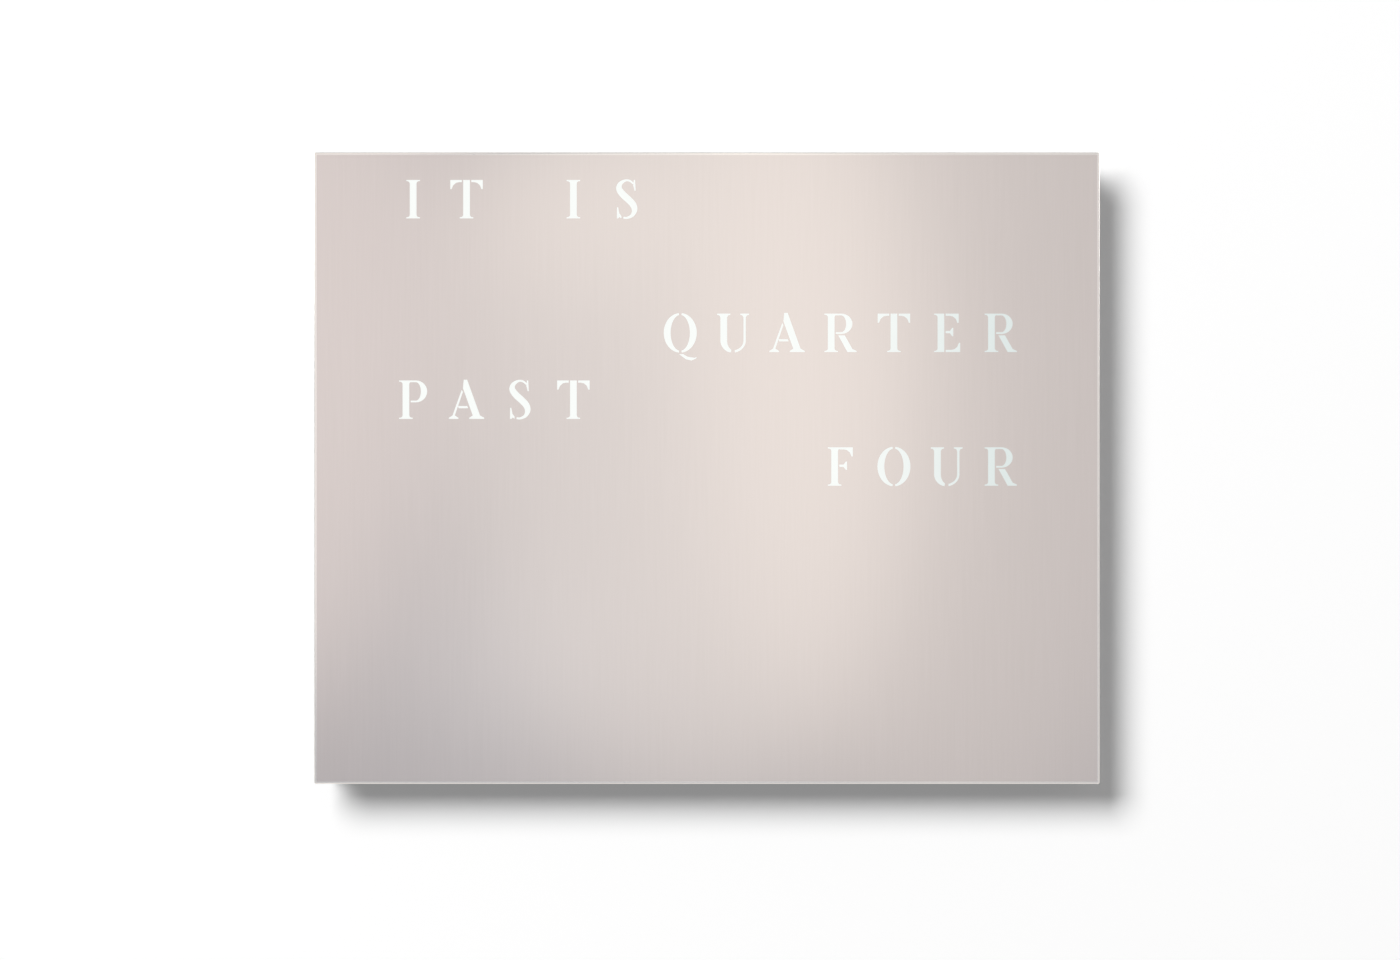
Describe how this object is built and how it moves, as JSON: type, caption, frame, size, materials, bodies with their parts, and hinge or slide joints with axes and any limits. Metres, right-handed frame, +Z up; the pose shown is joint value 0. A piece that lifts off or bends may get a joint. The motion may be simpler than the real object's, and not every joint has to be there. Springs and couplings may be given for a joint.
{
  "type": "word clock",
  "caption": "Flat rectangular wall clock: a brushed metal front that hides a lit letter matrix, held by magnets on a shallow mitred frame with a light grid, lamp strips and a keyholed back.",
  "frame": {"origin": "centre of the back cover's rear face, in the plane of the wall", "axes": "+X to the right as the clock is read, +Y into the wall, +Z up; the front faces -Y"},
  "size_m": [0.49, 0.0263, 0.394],
  "materials": {
    "brushed_metal": "satin brushed, warm grey",
    "black_film": "matte printed film",
    "opal_sheet": "opal, satin",
    "zinc_steel": "zinc plated",
    "anodised_aluminium": "satin anodised",
    "black_nylon": "matte moulded",
    "nickel_plate": "polished nickel",
    "white_plastic": "matte moulded",
    "grey_board": "satin",
    "strip_white": "solder mask",
    "ribbon_grey": "satin",
    "textured_cover": "fine moulded texture",
    "black_steel": "black oxide",
    "green_board": "solder mask",
    "blue_board": "solder mask",
    "black_moulding": "satin moulded",
    "lead_sheath": "soft sheath"
  },
  "bodies": {
    "casing": {"frame_rail_top": "anodised_aluminium", "frame_rail_bottom": "anodised_aluminium", "frame_rail_left": "anodised_aluminium", "frame_rail_right": "anodised_aluminium", "corner_block_bottom_left": "black_nylon", "corner_block_bottom_right": "black_nylon", "corner_block_top_right": "black_nylon", "corner_block_top_left": "black_nylon", "magnet_bottom_left": "nickel_plate", "magnet_bottom_right": "nickel_plate", "magnet_top_right": "nickel_plate", "magnet_top_left": "nickel_plate", "light_grid": "white_plastic", "led_carrier": "grey_board", "led_strip_1": "strip_white", "led_strip_2": "strip_white", "led_strip_3": "strip_white", "led_strip_4": "strip_white", "led_strip_5": "strip_white", "led_strip_6": "strip_white", "led_strip_7": "strip_white", "led_strip_8": "strip_white", "led_strip_9": "strip_white", "strip_jumper_1": "ribbon_grey", "strip_jumper_2": "ribbon_grey", "strip_jumper_3": "ribbon_grey", "strip_jumper_4": "ribbon_grey", "strip_jumper_5": "ribbon_grey", "strip_jumper_6": "ribbon_grey", "strip_jumper_7": "ribbon_grey", "strip_jumper_8": "ribbon_grey", "back_cover": "textured_cover", "cover_screw_bottom_left": "black_steel", "cover_screw_bottom_right": "black_steel", "cover_screw_top_right": "black_steel", "cover_screw_top_left": "black_steel", "grid_screw_bottom_left": "black_steel", "grid_screw_bottom_right": "black_steel", "grid_screw_top_right": "black_steel", "grid_screw_top_left": "black_steel", "controller_board": "green_board", "clock_module": "blue_board", "coin_cell": "zinc_steel", "dc_socket": "black_moulding", "dc_socket_nut": "nickel_plate", "button_holder": "black_nylon", "button_board": "green_board", "feed_lead": "lead_sheath", "supply_lead": "lead_sheath", "button_lead": "lead_sheath"},
    "front": {"front_panel": "brushed_metal", "letter_mask": "black_film", "diffuser_sheet": "opal_sheet", "strike_bottom_left": "zinc_steel", "strike_bottom_right": "zinc_steel", "strike_top_right": "zinc_steel", "strike_top_left": "zinc_steel"},
    "hour_button": {"hour_button_cap": "anodised_aluminium"},
    "minute_button": {"minute_button_cap": "anodised_aluminium"},
    "brightness_button": {"brightness_button_cap": "anodised_aluminium"}
  },
  "joints": [
    {"name": "front_slide", "type": "slide", "parent": "casing", "child": "front", "axis": [0, -1, 0], "range_m": [0, 0.05]},
    {"name": "hour_press", "type": "slide", "parent": "casing", "child": "hour_button", "axis": [1, 0, 0], "range_m": [0, 0.001], "stiffness_N_per_m": 600, "springref_m": -0.002},
    {"name": "minute_press", "type": "slide", "parent": "casing", "child": "minute_button", "axis": [1, 0, 0], "range_m": [0, 0.001], "stiffness_N_per_m": 600, "springref_m": -0.002},
    {"name": "brightness_press", "type": "slide", "parent": "casing", "child": "brightness_button", "axis": [1, 0, 0], "range_m": [0, 0.001], "stiffness_N_per_m": 600, "springref_m": -0.002}
  ]
}
